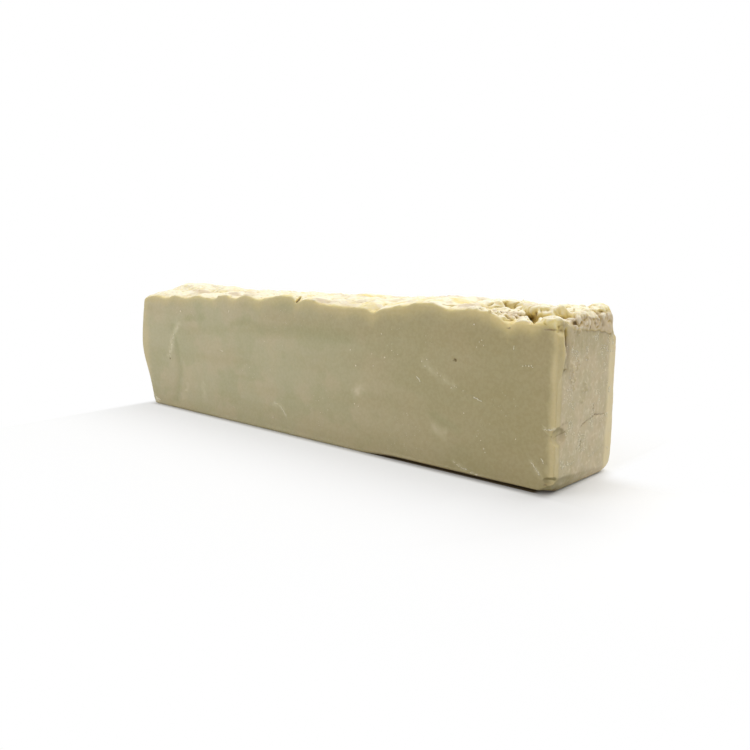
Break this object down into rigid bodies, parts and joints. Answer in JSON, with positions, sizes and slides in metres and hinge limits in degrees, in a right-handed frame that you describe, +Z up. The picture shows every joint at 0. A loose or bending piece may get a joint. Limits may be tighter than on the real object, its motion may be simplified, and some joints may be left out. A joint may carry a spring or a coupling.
{
  "type": "bar of soap",
  "caption": "Long uncut loaf of hand-made soap with smooth knife-cut sides, a rough crumbly crust on top and one broken end.",
  "frame": {"origin": "centre of the bar's bounding box in plan, on the plane it rests on", "axes": "+X along the loaf towards its broken end, +Y across it from the smooth cut side to the moulded side, +Z up"},
  "size_m": [0.295, 0.0524, 0.0758],
  "materials": {
    "soap": "matte, slightly waxy, dull olive-beige"
  },
  "bodies": {
    "root": {"soap_bar": "soap"}
  },
  "joints": []
}
